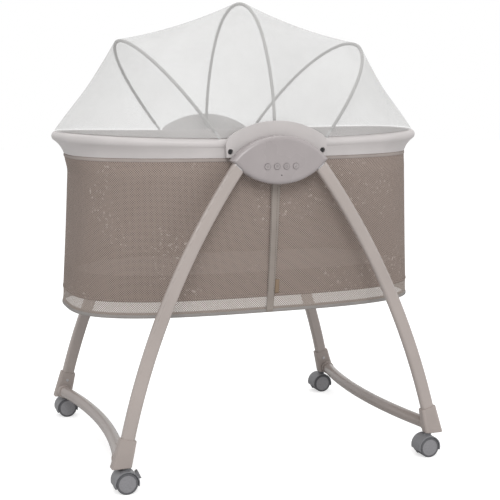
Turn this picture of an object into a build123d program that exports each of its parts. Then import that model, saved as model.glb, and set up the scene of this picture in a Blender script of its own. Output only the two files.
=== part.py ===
from build123d import *
import os
from math import atan2, cos, degrees, hypot, radians, sin

# A swinging bassinet: an oval fabric basket hangs between two pivot pods on a four-legged stand
# with twin-wheel casters, under a net canopy on three hoops.
# X runs along the basket, Y across it (the control pod is at -Y), Z up. Origin: floor, mid-stand.

# ---------------------------------------------------------------- driving dimensions (mm)
# Basket rim
rim_half_length = 467.0  # outermost line of the rolled lip
rim_half_width = 262.0
rim_roundness = 2.5  # exponent of the oval: 2 is an ellipse, more is squarer
rim_height = 786.0  # crest above the floor at mid-length
rim_rise = 11.0  # how much higher the crest is at the two ends
lip_radius = 12.0
lip_width = 16.0
lip_depth = 24.0  # height of the solid lip on its inner side
band_bottom = 743.0  # where the rim band ends and the mesh starts
band_wall = 4.0
flare_side = 6.0  # how far the band leans out at the long sides
flare_end = 29.0  # and at the two ends

# Fabric basket
neck_height = 695.0  # the narrowest level of the ends
neck_half_length = 427.0
base_half_length = 447.0
base_half_width = 225.0
base_roundness = 3.0
belly = 1.8  # how late the long sides lean in
floor_height = 411.0
hem_height = 375.0
fabric = 2.0
skirt_fabric = 1.5
board_thickness = 6.0
mattress_thickness = 35.0
mattress_gap = 4.0  # all round, inside the mesh
mattress_rounding = 10.0
tape_width = 17.0
tape_thickness = 1.4
hem_hoop_width = 3.0
hem_hoop_height = 6.0

# Pivot and hub plates
pivot_height = 738.5
shaft_radius = 8.0
plate_thickness = 6.4
plate_half_width = 127.0
plate_top = 828.0
plate_arch_radius = 215.0
plate_bottom = 745.0
plate_corner = 30.0
hub_radius = 34.0
plate_screw_x = 115.0
plate_screw_height = 758.0
plate_recess_radius = 6.6
plate_recess_depth = 5.2

# Pods
pod_gap = 3.0  # between the hub plate and the pod's back
pod_depth = 26.0
pod_half_width = 119.5
pod_half_height = 56.5
pod_wall = 2.5
pod_rounding = 10.0
back_thickness = 2.5
web_thickness = 5.0

# Legs: one arc each, leaning outward from the pod to the foot
leg_width = 31.0
leg_depth = 20.0
leg_rounding = 7.0
leg_wall = 2.0
leg_top_x = 102.0
leg_top_height = 724.0
leg_foot_x = 380.0
foot_mouth_height = 122.0
leg_bow = 32.0
foot_y = 324.0
leg_insert = 32.0
spigot_length = 34.0

# Feet and crossbars
foot_wall = 4.0
foot_bottom_height = 58.0
foot_bottom_x = 397.0
foot_bottom_width = 47.0
foot_top_depth = 25.0
foot_bottom_depth = 27.0
foot_rounding = 6.0
bar_radius = 15.0
bar_wall = 1.5
bar_height = 73.0
bar_bow = 34.0
bar_insert = 15.0
bar_end_y = 311.0
collar_wall = 2.2
foot_screw_height = 102.0
screw_radius = 2.0

# Casters
wheel_radius = 25.0
wheel_width = 18.5
web_half = 3.0  # half the thickness of the hood's middle web
stem_x = 383.0
caster_y = 324.5
trail = 4.0  # the axle lies this far behind the stem, towards -X
axle_radius = 3.0
stem_radius = 4.0
stem_length = 23.0
hood_gap = 1.2
hood_wall = 2.5
neck_radius = 9.0
brake_width = 13.0

# Hoops and net
hoop_radius = 3.0
hoop_inset = 10.0  # hoop feet stand this far in from the rim's outermost line
hoop_pin = 12.0  # how deep the feet go into the lip
middle_hoop_rise = 319.0
middle_hoop_radius = 217.0  # over the top; smaller than the half-span
outer_hoop_radius = 240.0
net_end_radius = 220.0  # the net's outline at the tip of each end
outer_hoop_rise = 281.0
outer_hoop_x = 135.0
outer_hoop_lean = 37.0  # degrees from upright
net_thickness = 1.5
net_foot = 1.5  # gap between the crest and the net's lower edge

# Buttons and drive
button_radius = 7.2
button_pitch = 23.4
button_drop = 14.0  # below the pivot
button_proud = 1.6
button_travel = 1.0
arm_reach = 34.0
coil_radius = 12.0
coil_thickness = 2.6
bearing_radius = 14.0

# Clearances
touch = 0.3  # between pieces that rest on each other
running = 0.05  # radial, shaft in bore
fit = 0.15  # a tube in its socket

os.makedirs("parts", exist_ok=True)


def save(part, name):
    """Label one finished piece and write it."""
    part.label = name
    export_step(part, f"parts/{name}.step")


# ---------------------------------------------------------------- ovals and levels
def oval(half_length, half_width, roundness, angle):
    """Point of a superellipse at a parameter angle in degrees."""
    c, s = cos(radians(angle)), sin(radians(angle))
    x = half_length * abs(c) ** (2 / roundness) * (1 if c > 0 else -1)
    y = half_width * abs(s) ** (2 / roundness) * (1 if s > 0 else -1)
    return x, y


def oval_normal(half_length, half_width, roundness, x, y):
    """Unit outward normal of a superellipse at one of its points."""
    nx = abs(x / half_length) ** (roundness - 1) / half_length * (1 if x > 0 else -1)
    ny = abs(y / half_width) ** (roundness - 1) / half_width * (1 if y > 0 else -1)
    size = hypot(nx, ny)
    return nx / size, ny / size


def oval_width(half_length, half_width, roundness, x):
    """Half-width of a superellipse at a distance x from its middle."""
    return half_width * (1 - abs(x / half_length) ** roundness) ** (1 / roundness)


def crest(x):
    """Height of the rim's crest at a distance x along the basket."""
    return rim_height + rim_rise * (x / rim_half_length) ** 2


def flare(x):
    """How far the band's foot lies inside the lip, growing towards the ends."""
    return flare_side + (flare_end - flare_side) * (abs(x) / rim_half_length) ** 2


def wall_size(z):
    """Half-length and half-width of the fabric wall's outside at a level."""
    up = (z - hem_height) / (neck_height - hem_height)
    lean = (z - hem_height) / (band_bottom - hem_height)
    length = base_half_length + (neck_half_length - base_half_length) * min(up, 1)
    top = rim_half_width - flare_side
    return length, base_half_width + (top - base_half_width) * (1 - (1 - min(lean, 1)) ** belly)


STEPS = 32  # points round an oval


def oval_ring(z, inset):
    """Points of the fabric wall's outline at a level, moved inwards."""
    length, width = wall_size(z)
    ring = [oval(length - inset, width - inset, base_roundness, 360 * k / STEPS) for k in range(STEPS)]
    return [(x, y) for x, y in ring]


def waist_ring(inset):
    """Points of the band's lower edge, moved inwards."""
    ring = []
    for k in range(STEPS):
        x, y = oval(rim_half_length, rim_half_width, rim_roundness, 360 * k / STEPS)
        nx, ny = oval_normal(rim_half_length, rim_half_width, rim_roundness, x, y)
        depth = flare(x) + inset
        ring.append((x - nx * depth, y - ny * depth))
    return ring


def ring_face(z, points):
    """A flat face at height z inside a closed smooth ring."""
    with BuildSketch(Plane.XY.offset(z)) as face:
        with BuildLine():
            Spline(*points, periodic=True)
        make_face()
    return face.sketch


# ---------------------------------------------------------------- rim band
def rim_profile(angle):
    """The band's section, standing across the rim at one place."""
    x, y = oval(rim_half_length, rim_half_width, rim_roundness, angle)
    nx, ny = oval_normal(rim_half_length, rim_half_width, rim_roundness, x, y)
    top, foot = crest(x), flare(x)
    side = lip_radius * (1 - cos(radians(45)))
    under = top - lip_radius * (1 + sin(radians(45)))
    hollow = 0.09 * foot
    with BuildSketch(Plane(origin=(x, y, 0), x_dir=(nx, ny, 0), z_dir=(ny, -nx, 0))) as section:
        with BuildLine():
            ThreePointArc(
                (-foot, band_bottom),
                (-(foot + side) / 2 - hollow, (band_bottom + under) / 2 + hollow),
                (-side, under),
            )
            ThreePointArc((-side, under), (0, top - lip_radius), (-lip_radius, top))
            Polyline(
                (-lip_radius, top),
                (-lip_width + 2, top),
                (-lip_width, top - 2),
                (-lip_width, top - lip_depth),
                (-foot - band_wall, band_bottom),
                (-foot, band_bottom),
            )
        make_face()
    return section.sketch


hoop_feet = []  # (x, y) of the six feet, near side first
for foot_x in (-outer_hoop_x, 0, outer_hoop_x):
    foot_y_at = oval_width(rim_half_length, rim_half_width, rim_roundness, foot_x) - hoop_inset
    hoop_feet += [(foot_x, -foot_y_at), (foot_x, foot_y_at)]
hoop_half_width = hoop_feet[3][1]
outer_half_width = hoop_feet[5][1]

QUARTER = 6  # sections from an end to the middle of a side
with BuildPart() as rim_band:
    for k in range(-1, QUARTER + 2):
        add(rim_profile(90 * k / QUARTER))
    loft()
    split(bisect_by=Plane.XZ, keep=Keep.BOTTOM)
    split(bisect_by=Plane.YZ, keep=Keep.TOP)
    mirror(about=Plane.XZ)
    mirror(about=Plane.YZ)
    for foot_x, foot_yy in hoop_feet:
        with BuildSketch(Plane.XY.offset(crest(foot_x) + 1)):
            with Locations((foot_x, foot_yy)):
                Circle(hoop_radius + running)
        extrude(amount=-hoop_pin - 1 - touch, mode=Mode.SUBTRACT)
    for side in (-1, 1):
        with BuildSketch(Plane.XZ.offset(side * rim_half_width)):
            with Locations((-plate_screw_x, plate_screw_height), (plate_screw_x, plate_screw_height)):
                Circle(screw_radius + fit)
        extrude(amount=-side * 40, mode=Mode.SUBTRACT)
save(rim_band.part, "rim_band")


# ---------------------------------------------------------------- fabric basket
def fabric_solid(low, high, inset):
    """Solid inside the fabric wall's outline between two levels, moved inwards by inset."""
    levels = [low] + [z for z in (430, 500, 570, 635, neck_height) if low + 12 < z < high - 12]
    with BuildPart() as solid:
        for z in levels:
            add(ring_face(z, oval_ring(z, inset)))
        if high > neck_height:
            add(ring_face(high, waist_ring(inset)))
        else:
            add(ring_face(high, oval_ring(high, inset)))
        loft()
    return solid.part


wall_top = band_bottom - touch
wall_inset = 1.0  # the mesh hangs this far inside the band's lower edge

with BuildPart() as mesh_wall:
    add(fabric_solid(floor_height, wall_top, wall_inset))
    add(fabric_solid(floor_height, wall_top, wall_inset + fabric), mode=Mode.SUBTRACT)
save(mesh_wall.part, "mesh_wall")

with BuildPart() as skirt:
    add(fabric_solid(hem_height, floor_height - touch, wall_inset))
    add(fabric_solid(hem_height, floor_height - touch, wall_inset + skirt_fabric), mode=Mode.SUBTRACT)
save(skirt.part, "skirt")

# Stiff hoop that keeps the hem open, inside the skirt's lower edge
hem_inset = wall_inset + skirt_fabric + touch + 0.6
with BuildPart() as hem_hoop:
    with BuildSketch(Plane.XY.offset(hem_height)):
        add(ring_face(0, oval_ring(hem_height, hem_inset)))
        add(ring_face(0, oval_ring(hem_height, hem_inset + hem_hoop_width)), mode=Mode.SUBTRACT)
    extrude(amount=hem_hoop_height)
save(hem_hoop.part, "hem_hoop")

# Fabric tray sewn into the mesh: floor and low wall, with the board and mattress in it
tray_height = 60.0
tray_inset = wall_inset + fabric + touch
with BuildPart() as liner:
    add(fabric_solid(floor_height, floor_height + tray_height, tray_inset))
    add(
        fabric_solid(floor_height + fabric, floor_height + tray_height, tray_inset + fabric),
        mode=Mode.SUBTRACT,
    )
save(liner.part, "liner")

board_inset = tray_inset + fabric + 2.5
board_bottom = floor_height + fabric + touch
with BuildPart() as base_board:
    add(ring_face(board_bottom, oval_ring(floor_height, board_inset)))
    extrude(amount=board_thickness)
    chamfer(base_board.edges().group_by(Axis.Z)[-1], 1.0)
save(base_board.part, "base_board")

mattress_bottom = board_bottom + board_thickness + touch
with BuildPart() as mattress:
    add(ring_face(mattress_bottom, oval_ring(floor_height, tray_inset + fabric + mattress_gap)))
    extrude(amount=mattress_thickness)
    fillet(mattress.edges().group_by(Axis.Z)[-1], mattress_rounding)
save(mattress.part, "mattress")

# One tape down the middle of each long side
tape_low = hem_height + 40
with BuildPart() as centre_tapes:
    add(fabric_solid(tape_low, wall_top - 9, wall_inset - touch - tape_thickness))
    add(fabric_solid(tape_low, wall_top - 9, wall_inset - touch), mode=Mode.SUBTRACT)
    with BuildSketch(Plane.XY.offset(tape_low)):
        Rectangle(tape_width, 3 * rim_half_width)
    extrude(amount=rim_height, mode=Mode.INTERSECT)
save(centre_tapes.part, "centre_tapes")


# ---------------------------------------------------------------- hub plates, shafts and pods
plate_inner = rim_half_width + touch
plate_outer = plate_inner + plate_thickness
pod_back_y = plate_outer + pod_gap
pod_front_y = pod_back_y + pod_depth
pod_middle_y = (pod_back_y + pod_front_y) / 2
bracket_y = pod_back_y + 10.3  # inner face of the bracket's web
bearing_length = 8.0
lens_radius = (pod_half_width**2 + pod_half_height**2) / (2 * pod_half_height)


def upright(sy, y):
    """Plane facing away from the basket on side sy, at a distance y; x right, y up."""
    return Plane(origin=(0, sy * y, 0), x_dir=(-sy, 0, 0), z_dir=(0, sy, 0))


def hub_plate(sy):
    """Arched plate clamped to the rim, carrying the pivot shaft and two screws."""
    with BuildPart() as plate:
        with BuildSketch(upright(sy, plate_inner)):
            with BuildLine():
                drop = plate_arch_radius - (plate_arch_radius**2 - plate_half_width**2) ** 0.5
                ThreePointArc(
                    (-plate_half_width, plate_top - drop),
                    (0, plate_top),
                    (plate_half_width, plate_top - drop),
                )
                Polyline(
                    (plate_half_width, plate_top - drop),
                    (plate_half_width - 3, plate_bottom),
                    (-plate_half_width + 3, plate_bottom),
                    (-plate_half_width, plate_top - drop),
                )
            make_face()
            fillet(vertices().group_by(Axis.Y)[-1], plate_corner)
            with Locations((0, pivot_height)):
                Circle(hub_radius)
        extrude(amount=plate_thickness)
        for side in (-1, 1):
            with BuildSketch(upright(sy, plate_inner - 4.5)):
                with Locations((side * plate_screw_x, plate_screw_height)):
                    Circle(plate_recess_radius)
            extrude(amount=5)
            with BuildSketch(upright(sy, plate_outer)):
                with Locations((side * plate_screw_x, plate_screw_height)):
                    Circle(plate_recess_radius)
            extrude(amount=-plate_recess_depth, mode=Mode.SUBTRACT)
            with BuildSketch(upright(sy, plate_outer)):
                with Locations((side * plate_screw_x, plate_screw_height)):
                    Circle(screw_radius + fit)
            extrude(amount=-20, mode=Mode.SUBTRACT)
        with BuildSketch(upright(sy, plate_outer)):
            with Locations((0, pivot_height)):
                Circle(shaft_radius + running)
        extrude(amount=-plate_thickness + 1.5, mode=Mode.SUBTRACT)
    return plate.part


def pivot_shaft(sy):
    """Steel pin standing in the hub plate and turning in the pod's bearing."""
    with BuildPart() as shaft:
        with BuildSketch(upright(sy, plate_inner + 1.5 + touch)):
            with Locations((0, pivot_height)):
                Circle(shaft_radius)
        extrude(amount=bracket_y + bearing_length / 2 - plate_inner - 1.5)
        chamfer(shaft.edges().filter_by(GeomType.CIRCLE), 0.8)
    return shaft.part


def lens(inset):
    """Pod outline: two arcs, the lower corners cut straight where the legs leave."""
    half, height = pod_half_width - inset, pod_half_height - inset
    cut_x = 0.77 * pod_half_width
    radius = lens_radius - inset
    low = pivot_height + radius - height - (radius**2 - cut_x**2) ** 0.5
    with BuildSketch() as outline:
        with BuildLine():
            ThreePointArc((-half, pivot_height), (0, pivot_height + height), (half, pivot_height))
            Line((half, pivot_height), (cut_x, low))
            ThreePointArc((cut_x, low), (0, pivot_height - height), (-cut_x, low))
            Line((-cut_x, low), (-half, pivot_height))
        make_face()
    return outline.sketch


def leg_plane(sx, sy):
    """Plane of a leg: x outwards from the middle, y up the slant, origin at the leg's top level."""
    slant = (foot_y - pod_middle_y) / (leg_top_height - foot_mouth_height)
    size = hypot(1, slant)
    return Plane(
        origin=(0, sy * pod_middle_y, leg_top_height),
        x_dir=(sx, 0, 0),
        z_dir=(0, -sx / size, -sx * sy * slant / size),
    )


slant_length = hypot(leg_top_height - foot_mouth_height, foot_y - pod_middle_y)
leg_start = Vector(leg_top_x, 0)
leg_end = Vector(leg_foot_x, -slant_length)
leg_chord = (leg_end - leg_start).length
leg_radius = (leg_chord**2 / 4 + leg_bow**2) / (2 * leg_bow)
leg_across = Vector(slant_length, leg_foot_x - leg_top_x).normalized()  # outwards, across the chord
leg_centre = (leg_start + leg_end) * 0.5 - leg_across * (leg_radius - leg_bow)


def leg_point(distance):
    """Point and inward angle of the leg's centre line, measured from its top end."""
    first = atan2(leg_start.Y - leg_centre.Y, leg_start.X - leg_centre.X)
    angle = first - distance / leg_radius
    return leg_centre + Vector(cos(angle), sin(angle)) * leg_radius, angle


leg_length = 2 * leg_radius * atan2(leg_chord / 2, leg_radius - leg_bow)


def leg_bar(sx, sy, width, depth, rounding, first, last):
    """Rounded bar following a leg's centre line between two distances from its top end."""
    plane = leg_plane(sx, sy)
    points = [plane.from_local_coords(leg_point(d)[0]) for d in (first, (first + last) / 2, last)]
    angle = leg_point(first)[1]
    across = plane.from_local_coords(Vector(cos(angle), sin(angle), 0)) - plane.origin
    with BuildPart() as bar:
        with BuildLine():
            path = ThreePointArc(*points)
        with BuildSketch(Plane(origin=points[0], x_dir=across, z_dir=path % 0)):
            RectangleRounded(width, depth, rounding)
        sweep(path=path)
    return bar.part


def leg_tube(sx, sy):
    """Hollow leg, its top end cut along the pod's seam."""
    with BuildPart() as tube:
        add(leg_bar(sx, sy, leg_width, leg_depth, leg_rounding, -12, leg_length + leg_insert))
        inner = 2 * leg_wall
        hollow = leg_bar(
            sx, sy, leg_width - inner, leg_depth - inner, leg_rounding - leg_wall, -13, leg_length + 99
        )
        add(hollow, mode=Mode.SUBTRACT)
        with BuildSketch(Plane.XZ):
            add(lens(-touch))
        extrude(amount=2 * rim_half_width, both=True, mode=Mode.SUBTRACT)
        with Locations(screw_place(sx, sy)):
            Cylinder(screw_radius + fit, 16, mode=Mode.SUBTRACT)
    return tube.part


def screw_place(sx, sy):
    """Where the foot's screw goes through: its axis is square to the leg's plane."""
    plane = leg_plane(sx, sy)
    point = leg_point(leg_length + foot_mouth_height - foot_screw_height)[0]
    inner = Vector(0, 0, sx * sy * (leg_depth / 2 + 1.5))
    return Plane(origin=plane.from_local_coords(point + inner), z_dir=plane.z_dir * (sx * sy)).location


def screw(length, head_radius):
    """Pan-head screw: the shank goes down from the origin, the head stands on it."""
    with BuildPart() as one:
        Cylinder(screw_radius, length, align=(Align.CENTER, Align.CENTER, Align.MAX))
        Cylinder(head_radius, 1.8, align=(Align.CENTER, Align.CENTER, Align.MIN))
        chamfer(one.edges().group_by(Axis.Z)[-1], 0.5)
        with BuildSketch(Plane.XY.offset(1.8)):
            Rectangle(2.4, 0.7)
            Rectangle(0.7, 2.4)
        extrude(amount=-0.9, mode=Mode.SUBTRACT)
    return one.part


sides = [("near", -1), ("far", 1)]
ends = [("left", -1), ("right", 1)]
for row, sy in sides:
    for end, sx in ends:
        save(leg_tube(sx, sy), f"{row}_{end}_leg")
    save(hub_plate(sy), f"{row}_hub_plate")
    save(pivot_shaft(sy), f"{row}_pivot_shaft")

with BuildPart() as plate_screws:
    head_y = plate_outer - plate_recess_depth + 0.05
    for sy in (-1, 1):
        for side in (-1, 1):
            place = upright(sy, head_y)
            place.origin = place.from_local_coords((side * plate_screw_x, plate_screw_height))
            add(place.location * screw(10, plate_recess_radius - 1))
save(plate_screws.part, "plate_screws")

# ---------------------------------------------------------------- feet and crossbars
collar_radius = bar_radius + fit + collar_wall
bar_path_mid = Vector(foot_bottom_x - bar_bow, 0, bar_height)


def crossbar_rod(sx, radius, reach):
    """Round rod along a crossbar's arc, up to a distance reach across the basket."""
    bend = (bar_end_y**2 + bar_bow**2) / (2 * bar_bow)
    centre_x = foot_bottom_x - bar_bow + bend
    end_x = centre_x - (bend**2 - reach**2) ** 0.5
    with BuildPart() as rod:
        with BuildLine():
            path = ThreePointArc(
                (sx * end_x, -reach, bar_height),
                (sx * (foot_bottom_x - bar_bow), 0, bar_height),
                (sx * end_x, reach, bar_height),
            )
        with BuildSketch(Plane(origin=path @ 0, z_dir=path % 0)):
            Circle(radius)
        sweep(path=path)
    return rod.part


for end, sx in ends:
    with BuildPart() as crossbar:
        add(crossbar_rod(sx, bar_radius, bar_end_y))
        add(crossbar_rod(sx, bar_radius - bar_wall, bar_end_y + 1), mode=Mode.SUBTRACT)
    save(crossbar.part, f"{end}_crossbar")


def foot(sx, sy):
    """Corner fitting: sleeve for the leg, collar for the crossbar, bore for the caster stem."""
    plane = leg_plane(sx, sy)
    mouth, angle = leg_point(leg_length)
    across = plane.from_local_coords(Vector(cos(angle), sin(angle), 0)) - plane.origin
    up = plane.from_local_coords(Vector(-sin(angle), cos(angle), 0)) - plane.origin
    with BuildPart() as fitting:
        with BuildSketch(Plane(origin=plane.from_local_coords(mouth), x_dir=across, z_dir=up)):
            RectangleRounded(leg_width + 2 * foot_wall, foot_top_depth, foot_rounding)
        place = Plane(origin=(sx * foot_bottom_x, sy * foot_y, foot_bottom_height), x_dir=(sx, 0, 0))
        with BuildSketch(place):
            RectangleRounded(foot_bottom_width, foot_bottom_depth, foot_rounding)
        loft()
        chamfer(fitting.edges().group_by(Axis.Z)[0], 1.5)
        add(collar_end(sx, sy, collar_radius))
        add(crossbar_rod(sx, bar_radius + fit, bar_end_y + touch), mode=Mode.SUBTRACT)
        socket = leg_bar(
            sx,
            sy,
            leg_width + 2 * fit,
            leg_depth + 2 * fit,
            leg_rounding,
            leg_length - 30,
            leg_length + leg_insert + touch,
        )
        add(socket, mode=Mode.SUBTRACT)
        with BuildSketch(Plane.XY.offset(foot_bottom_height)):
            with Locations((sx * stem_x, sy * caster_y)):
                Circle(stem_radius + running)
        extrude(amount=stem_length, mode=Mode.SUBTRACT)
        with Locations(screw_place(sx, sy)):
            Cylinder(screw_radius + fit, 16, mode=Mode.SUBTRACT)
    return fitting.part


def collar_end(sx, sy, radius):
    """Collar round the crossbar's end, square to the bar, from its mouth into the sleeve."""
    rod = crossbar_rod(sx, radius, bar_end_y)
    low = bar_end_y - bar_insert
    with BuildPart() as collar:
        add(rod)
        with BuildSketch(upright(sy, low)):
            Rectangle(9 * stem_x, 9 * bar_height)
        extrude(amount=99, mode=Mode.INTERSECT)
    return collar.part


with BuildPart() as stand_screws:
    for row, sy in sides:
        for end, sx in ends:
            place = Plane(screw_place(sx, sy))
            place.origin = place.from_local_coords((0, 0, (foot_bottom_depth - leg_depth) / 2 - 0.5))
            add(place.location * screw(9, 1.9 * screw_radius))
save(stand_screws.part, "stand_screws")
for row, sy in sides:
    for end, sx in ends:
        save(foot(sx, sy), f"{row}_{end}_foot")


# ---------------------------------------------------------------- pods
coil_height = pivot_height - arm_reach
board_y = bracket_y + web_thickness + 2.0
board_thickness_y = 1.6
button_back_y = board_y + board_thickness_y + button_travel + touch
button_height = pivot_height - button_drop
button_places = [((k - 1.5) * button_pitch, button_height) for k in range(4)]
sensor_height = pivot_height - 34.5
board_post_x = 45.0


def pod_cavity(sy):
    """Room inside a pod, its front edge rounded to keep the wall one thickness."""
    with BuildPart() as cavity:
        with BuildSketch(upright(sy, pod_back_y)):
            add(lens(pod_wall))
        extrude(amount=pod_depth - pod_wall)
        front = cavity.edges().group_by(Axis.Y)[0 if sy < 0 else -1]
        fillet(front, pod_rounding - pod_wall)
    return cavity.part


def pod_cover(sy):
    """Hollow front half of a pod, open at the back and where the legs leave."""
    with BuildPart() as cover:
        with BuildSketch(upright(sy, pod_back_y + back_thickness + touch)):
            add(lens(0))
        extrude(amount=pod_depth - back_thickness - touch)
        front = cover.edges().group_by(Axis.Y)[0 if sy < 0 else -1]
        fillet(front, pod_rounding)
        add(pod_cavity(sy), mode=Mode.SUBTRACT)
        for sx in (-1, 1):
            grown = leg_bar(
                sx,
                sy,
                leg_width - 2 * leg_wall + 1,
                leg_depth - 2 * leg_wall + 1,
                leg_rounding - leg_wall,
                -30,
                spigot_length,
            )
            add(grown, mode=Mode.SUBTRACT)
        if sy < 0:
            with BuildSketch(upright(sy, pod_front_y + 1)):
                with Locations(*[(-sy * x, z) for x, z in button_places]):
                    Circle(button_radius + touch)
                with Locations((0, sensor_height)):
                    Circle(1.6)
            extrude(amount=-pod_wall - 3, mode=Mode.SUBTRACT)
    return cover.part


def pod_back(sy):
    """Flat plate closing a pod towards the basket, with the hole for the shaft."""
    with BuildPart() as back:
        with BuildSketch(upright(sy, pod_back_y)):
            add(lens(0))
            with Locations((0, pivot_height)):
                Circle(shaft_radius + 1.5, mode=Mode.SUBTRACT)
        extrude(amount=back_thickness)
    return back.part


def leg_bracket(sy):
    """Cast bracket: bearing boss, web and the two spigots the legs slide on."""
    with BuildPart() as bracket:
        with BuildSketch(upright(sy, bracket_y)):
            with BuildLine():
                Polyline(
                    (-84, pivot_height + 14),
                    (-50, pivot_height + 34),
                    (50, pivot_height + 34),
                    (84, pivot_height + 14),
                    (84, pivot_height - 8),
                    (50, pivot_height - 40),
                    (-50, pivot_height - 40),
                    (-84, pivot_height - 8),
                    close=True,
                )
            make_face()
            fillet(vertices(), 6)
        extrude(amount=web_thickness)
        with BuildSketch(upright(sy, bracket_y - 4)):
            with Locations((0, pivot_height)):
                Circle(bearing_radius + 4)
        extrude(amount=web_thickness + 4)
        for sx in (-1, 1):
            add(
                leg_bar(
                    sx,
                    sy,
                    leg_width - 2 * leg_wall - 2 * fit,
                    leg_depth - 2 * leg_wall - 2 * fit,
                    leg_rounding - leg_wall,
                    -26,
                    spigot_length,
                )
            )
        with BuildSketch(upright(sy, bracket_y - 5)):
            with Locations((0, pivot_height)):
                Circle(bearing_radius + fit)
        extrude(amount=99, mode=Mode.SUBTRACT)
        if sy < 0:
            with BuildSketch(upright(sy, bracket_y + web_thickness)):
                with Locations((-board_post_x, button_height), (board_post_x, button_height)):
                    Circle(3)
            extrude(amount=2.0 - touch)
    return bracket.part


for row, sy in sides:
    save(pod_cover(sy), f"{row}_pod_cover")
    save(pod_back(sy), f"{row}_pod_back")
    save(leg_bracket(sy), f"{row}_leg_bracket")

with BuildPart() as pivot_bearings:
    for sy in (-1, 1):
        with BuildSketch(upright(sy, bracket_y - 4)):
            with Locations((0, pivot_height)):
                Circle(bearing_radius)
                Circle(shaft_radius + running, mode=Mode.SUBTRACT)
        extrude(amount=bearing_length)
save(pivot_bearings.part, "pivot_bearings")

# The coil in the near pod pushes and pulls a magnet on the arm that hangs from the shaft
arm_y = pod_back_y + back_thickness + 0.9
with BuildPart() as magnet_arm:
    with BuildSketch(upright(-1, arm_y)):
        with Locations((0, pivot_height)):
            Circle(shaft_radius + 4)
        with Locations((0, pivot_height - arm_reach / 2)):
            Rectangle(9, arm_reach)
        with Locations((0, coil_height)):
            Circle(8)
        with Locations((0, pivot_height)):
            Circle(shaft_radius + running, mode=Mode.SUBTRACT)
    extrude(amount=2.4)
    with BuildSketch(upright(-1, arm_y + 2.4)):
        with Locations((0, coil_height)):
            Circle(6)
    extrude(amount=1.2)
save(magnet_arm.part, "magnet_arm")

with BuildPart() as drive_coil:
    with BuildSketch(upright(-1, bracket_y - touch - coil_thickness)):
        with Locations((0, coil_height)):
            Circle(coil_radius)
            Circle(coil_radius - 4.5, mode=Mode.SUBTRACT)
    extrude(amount=coil_thickness)
save(drive_coil.part, "drive_coil")

with BuildPart() as control_board:
    with BuildSketch(upright(-1, board_y)):
        with Locations((0, button_height - 8)):
            Rectangle(2 * board_post_x + 14, 36)
        fillet(vertices(), 3)
    extrude(amount=board_thickness_y)
    with BuildSketch(upright(-1, board_y + board_thickness_y)):
        with Locations((0, sensor_height)):
            Circle(1.3)
    extrude(amount=pod_front_y - touch - board_y - board_thickness_y)
save(control_board.part, "control_board")

for name, (x, z) in zip(("power", "swing", "timer", "sound"), button_places):
    with BuildPart() as button:
        with BuildSketch(upright(-1, button_back_y)):
            with Locations((x, z)):
                Circle(button_radius + 1.2)
        extrude(amount=pod_front_y - pod_wall - touch - button_back_y)
        with BuildSketch(upright(-1, button_back_y)):
            with Locations((x, z)):
                Circle(button_radius)
        extrude(amount=pod_front_y + button_proud - button_back_y)
        chamfer(button.edges().group_by(Axis.Y)[0], 0.7)
    save(button.part, f"{name}_button")

# ---------------------------------------------------------------- casters
axle_length = web_half + touch + 0.7 * wheel_width
fender_inner = wheel_radius + hood_gap
fender_outer = fender_inner + hood_wall
hood_half_width = web_half + touch + wheel_width
brake_reach = 8.0
brake_middle = 25.0  # where the tab stands on the fender, degrees above the axle
brake_swing = 14.0


def sector(radius, first, last):
    """Closed slice of a disc between two angles in degrees; both angles' ends joined straight."""
    middle = (first + last) / 2
    points = [(radius * cos(radians(a)), radius * sin(radians(a))) for a in (first, middle, last)]
    with BuildSketch() as slice_:
        with BuildLine():
            ThreePointArc(*points)
            Line(points[2], points[0])
        make_face()
    return slice_.sketch


def wedge(radius, first, last):
    """Slice of a disc from its centre, between two angles in degrees."""
    points = [(radius * cos(radians(a)), radius * sin(radians(a))) for a in (first, last)]
    with BuildSketch() as slice_:
        with BuildLine():
            Polyline((0, 0), points[0], points[1], (0, 0))
        make_face()
    return slice_.sketch


def across_plane(x, y, offset):
    """Plane square to Y at a caster's axle, its y upwards."""
    return Plane(origin=(x, y + offset, wheel_radius), x_dir=(1, 0, 0), z_dir=(0, -1, 0))


def caster_hood(x, y, braked):
    """Fork-less hood: middle web, fenders over both wheels, neck and stem."""
    axle_x = x - trail
    with BuildPart() as hood:
        with BuildSketch(across_plane(axle_x, y, hood_half_width)):
            add(sector(fender_outer, -15, 215))
        extrude(amount=2 * hood_half_width)
        for low, high in ((web_half, hood_half_width + 1), (-hood_half_width - 1, -web_half)):
            with BuildSketch(across_plane(axle_x, y, high)):
                Circle(fender_inner)
                with Locations((0, -wheel_radius)):
                    Rectangle(4 * wheel_radius, 2 * wheel_radius - 15)
            extrude(amount=high - low, mode=Mode.SUBTRACT)
        with BuildSketch(Plane.XY.offset(2 * wheel_radius)):
            with Locations((x, y)):
                Circle(neck_radius)
        extrude(amount=foot_bottom_height - touch - 2 * wheel_radius)
        with BuildSketch(Plane.XY.offset(2 * wheel_radius)):
            with Locations((x, y)):
                Circle(stem_radius)
        extrude(amount=foot_bottom_height + stem_length - 1 - 2 * wheel_radius)
        with BuildSketch(across_plane(axle_x, y, web_half + 1)):
            Circle(axle_radius)
        extrude(amount=2 * web_half + 2, mode=Mode.SUBTRACT)
        if braked:
            with BuildSketch(across_plane(axle_x, y, 1.6)):
                Circle(7.5)
                add(wedge(40, brake_middle - brake_swing - 8, brake_middle + 8))
            extrude(amount=3.2, mode=Mode.SUBTRACT)
    return hood.part


def axle(x, y):
    """Pin pressed through the hood's web, a wheel on each end."""
    with BuildPart() as pin:
        with BuildSketch(across_plane(x - trail, y, axle_length)):
            Circle(axle_radius)
        extrude(amount=2 * axle_length)
    return pin.part


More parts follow.
